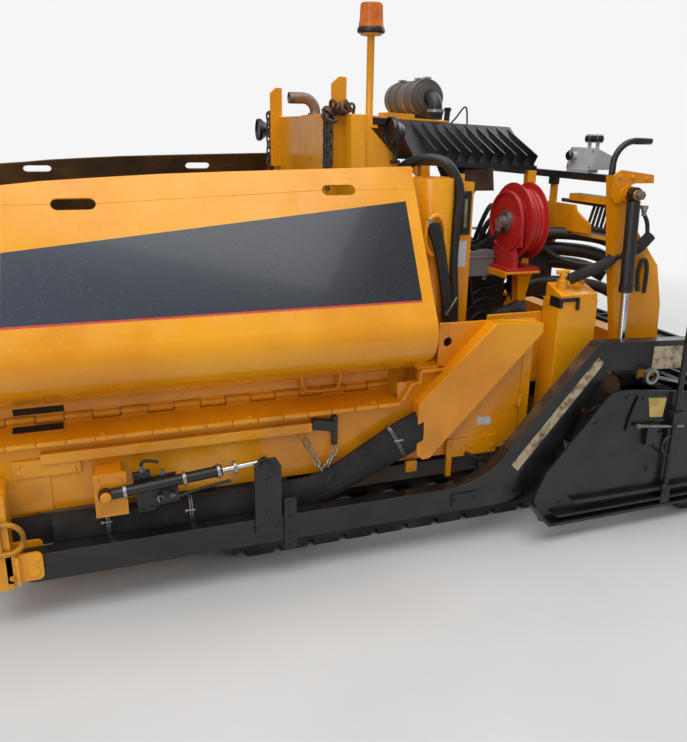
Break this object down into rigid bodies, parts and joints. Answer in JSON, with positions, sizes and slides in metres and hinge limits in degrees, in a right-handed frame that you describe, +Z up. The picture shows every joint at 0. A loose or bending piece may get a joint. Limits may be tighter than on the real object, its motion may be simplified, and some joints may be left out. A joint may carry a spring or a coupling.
{
  "type": "asphalt paver",
  "caption": "Tracked asphalt paver with folding hopper wings, conveyors, augers, open engine bay, cranked tow arms and a floating screed with slide-out extensions.",
  "frame": {"origin": "on the ground below the middle of the machine's length and width", "axes": "+X forward to the hopper and push rollers, +Y to the machine's left side, +Z up"},
  "size_m": [4.2, 2.584, 2.129],
  "materials": {
    "yellow_paint": "gloss",
    "black_paint": "semi-gloss",
    "red_paint": "gloss",
    "grey_paint": "satin",
    "worn_steel": "worn",
    "bright_steel": "satin",
    "rod_chrome": "polished",
    "dark_iron": "rough",
    "track_rubber": "matt",
    "sleeve_rubber": "matt",
    "amber_lens": "gloss",
    "rusty_pipe": "rough"
  },
  "bodies": {
    "chassis": {"main_frame": "yellow_paint", "side_plates": "yellow_paint", "hinge_shelves": "yellow_paint", "hopper_floor": "worn_steel", "conveyor_slats": "dark_iron", "track_left": "track_rubber", "track_right": "track_rubber", "track_wheels": "dark_iron", "side_brackets": "yellow_paint", "engine_deck": "yellow_paint", "deck_walls": "yellow_paint", "bulkhead": "yellow_paint", "hopper_chains": "dark_iron", "radiator": "dark_iron", "engine_cowl": "yellow_paint", "hood": "black_paint", "engine_block": "dark_iron", "air_cleaner": "grey_paint", "exhaust_pipe": "rusty_pipe", "beacon_pole": "yellow_paint", "beacon_lens": "amber_lens", "work_lamps": "black_paint", "gauge_tank": "yellow_paint", "side_tanks": "yellow_paint", "side_guards": "yellow_paint", "lift_towers": "yellow_paint", "reel_stand": "red_paint", "crossbar": "black_paint", "control_box": "grey_paint", "valve_bank": "black_paint", "hose_sleeves": "sleeve_rubber", "tow_brackets": "yellow_paint", "auger_case": "dark_iron"},
    "wing_left": {"wing_left": "yellow_paint"},
    "wing_right": {"wing_right": "yellow_paint"},
    "push_beam": {"push_beam": "yellow_paint"},
    "push_roller_left": {"push_roller_left": "worn_steel"},
    "push_roller_right": {"push_roller_right": "worn_steel"},
    "hose_reel": {"hose_reel": "red_paint"},
    "auger_left": {"auger_left": "dark_iron"},
    "auger_right": {"auger_right": "dark_iron"},
    "screed": {"tow_arm_left": "black_paint", "tow_arm_right": "black_paint", "main_screed": "black_paint", "walkway": "black_paint", "screed_jacks": "bright_steel"},
    "extension_left": {"extension_left": "black_paint", "end_gate_left": "black_paint"},
    "extension_right": {"extension_right": "black_paint", "end_gate_right": "black_paint"},
    "lift_barrel_left": {"lift_barrel_left": "black_paint"},
    "lift_barrel_right": {"lift_barrel_right": "black_paint"},
    "lift_rod_left": {"lift_rod_left": "rod_chrome"},
    "lift_rod_right": {"lift_rod_right": "rod_chrome"},
    "tow_barrel_left": {"tow_barrel_left": "black_paint"},
    "tow_barrel_right": {"tow_barrel_right": "black_paint"},
    "tow_rod_left": {"tow_rod_left": "rod_chrome"},
    "tow_rod_right": {"tow_rod_right": "rod_chrome"}
  },
  "joints": [
    {"name": "wing_left_hinge", "type": "hinge", "parent": "chassis", "child": "wing_left", "pos_m": [0, 0.895, 0.66], "axis": [-1, 0, 0], "range_deg": [0, 30]},
    {"name": "wing_right_hinge", "type": "hinge", "parent": "chassis", "child": "wing_right", "pos_m": [0, -0.895, 0.66], "axis": [1, 0, 0], "range_deg": [0, 30]},
    {"name": "push_beam_pivot", "type": "hinge", "parent": "chassis", "child": "push_beam", "pos_m": [1.81, 0, 0.3], "axis": [0, 0, 1], "range_deg": [-6, 6]},
    {"name": "push_roller_left_spin", "type": "hinge", "parent": "push_beam", "child": "push_roller_left", "pos_m": [2.025, 0, 0.43], "axis": [0, 1, 0], "continuous": true},
    {"name": "push_roller_right_spin", "type": "hinge", "parent": "push_beam", "child": "push_roller_right", "pos_m": [2.025, 0, 0.43], "axis": [0, 1, 0], "continuous": true},
    {"name": "hose_reel_spin", "type": "hinge", "parent": "chassis", "child": "hose_reel", "pos_m": [-0.573, 0.7, 1.28], "axis": [1, 0, 0], "continuous": true},
    {"name": "auger_left_spin", "type": "hinge", "parent": "chassis", "child": "auger_left", "pos_m": [-0.98, 0, 0.33], "axis": [0, 1, 0], "continuous": true},
    {"name": "auger_right_spin", "type": "hinge", "parent": "chassis", "child": "auger_right", "pos_m": [-0.98, 0, 0.33], "axis": [0, 1, 0], "continuous": true},
    {"name": "screed_lift", "type": "hinge", "parent": "chassis", "child": "screed", "pos_m": [1.512, 0, 0.207], "axis": [0, 1, 0], "range_deg": [0, 6.5]},
    {"name": "extension_left_slide", "type": "slide", "parent": "screed", "child": "extension_left", "axis": [0, 1, 0], "range_m": [0, 0.99]},
    {"name": "extension_right_slide", "type": "slide", "parent": "screed", "child": "extension_right", "axis": [0, -1, 0], "range_m": [0, 0.99]},
    {"name": "lift_barrel_left_pivot", "type": "hinge", "parent": "chassis", "child": "lift_barrel_left", "pos_m": [-0.893, 1.03, 1.415], "axis": [0, 1, 0], "range_deg": [-5.32, 0]},
    {"name": "lift_rod_left_slide", "type": "slide", "parent": "lift_barrel_left", "child": "lift_rod_left", "axis": [-0.0483, 0, -0.9988], "range_m": [-0.2741, 0]},
    {"name": "tow_barrel_left_pivot", "type": "hinge", "parent": "chassis", "child": "tow_barrel_left", "pos_m": [1.262, 1.1, 0.429], "axis": [0, 1, 0], "range_deg": [0, 9.81]},
    {"name": "tow_rod_left_slide", "type": "slide", "parent": "tow_barrel_left", "child": "tow_rod_left", "axis": [-0.9959, 0, 0.0904], "range_m": [-0.0207, 0]},
    {"name": "lift_barrel_right_pivot", "type": "hinge", "parent": "chassis", "child": "lift_barrel_right", "pos_m": [-0.893, -1.03, 1.415], "axis": [0, 1, 0], "range_deg": [-5.32, 0]},
    {"name": "lift_rod_right_slide", "type": "slide", "parent": "lift_barrel_right", "child": "lift_rod_right", "axis": [-0.0483, 0, -0.9988], "range_m": [-0.2741, 0]},
    {"name": "tow_barrel_right_pivot", "type": "hinge", "parent": "chassis", "child": "tow_barrel_right", "pos_m": [1.262, -1.1, 0.429], "axis": [0, 1, 0], "range_deg": [0, 9.81]},
    {"name": "tow_rod_right_slide", "type": "slide", "parent": "tow_barrel_right", "child": "tow_rod_right", "axis": [-0.9959, 0, 0.0904], "range_m": [-0.0207, 0]}
  ],
  "couplings": [
    {"joint": "lift_barrel_left_pivot", "follows": "screed_lift", "ratio": -0.8156},
    {"joint": "lift_rod_left_slide", "follows": "screed_lift", "m_per_rad": -2.4121},
    {"joint": "tow_barrel_left_pivot", "follows": "screed_lift", "ratio": 1.5064},
    {"joint": "tow_rod_left_slide", "follows": "screed_lift", "m_per_rad": -0.17816},
    {"joint": "lift_barrel_right_pivot", "follows": "screed_lift", "ratio": -0.8156},
    {"joint": "lift_rod_right_slide", "follows": "screed_lift", "m_per_rad": -2.4121},
    {"joint": "tow_barrel_right_pivot", "follows": "screed_lift", "ratio": 1.5064},
    {"joint": "tow_rod_right_slide", "follows": "screed_lift", "m_per_rad": -0.17816}
  ]
}
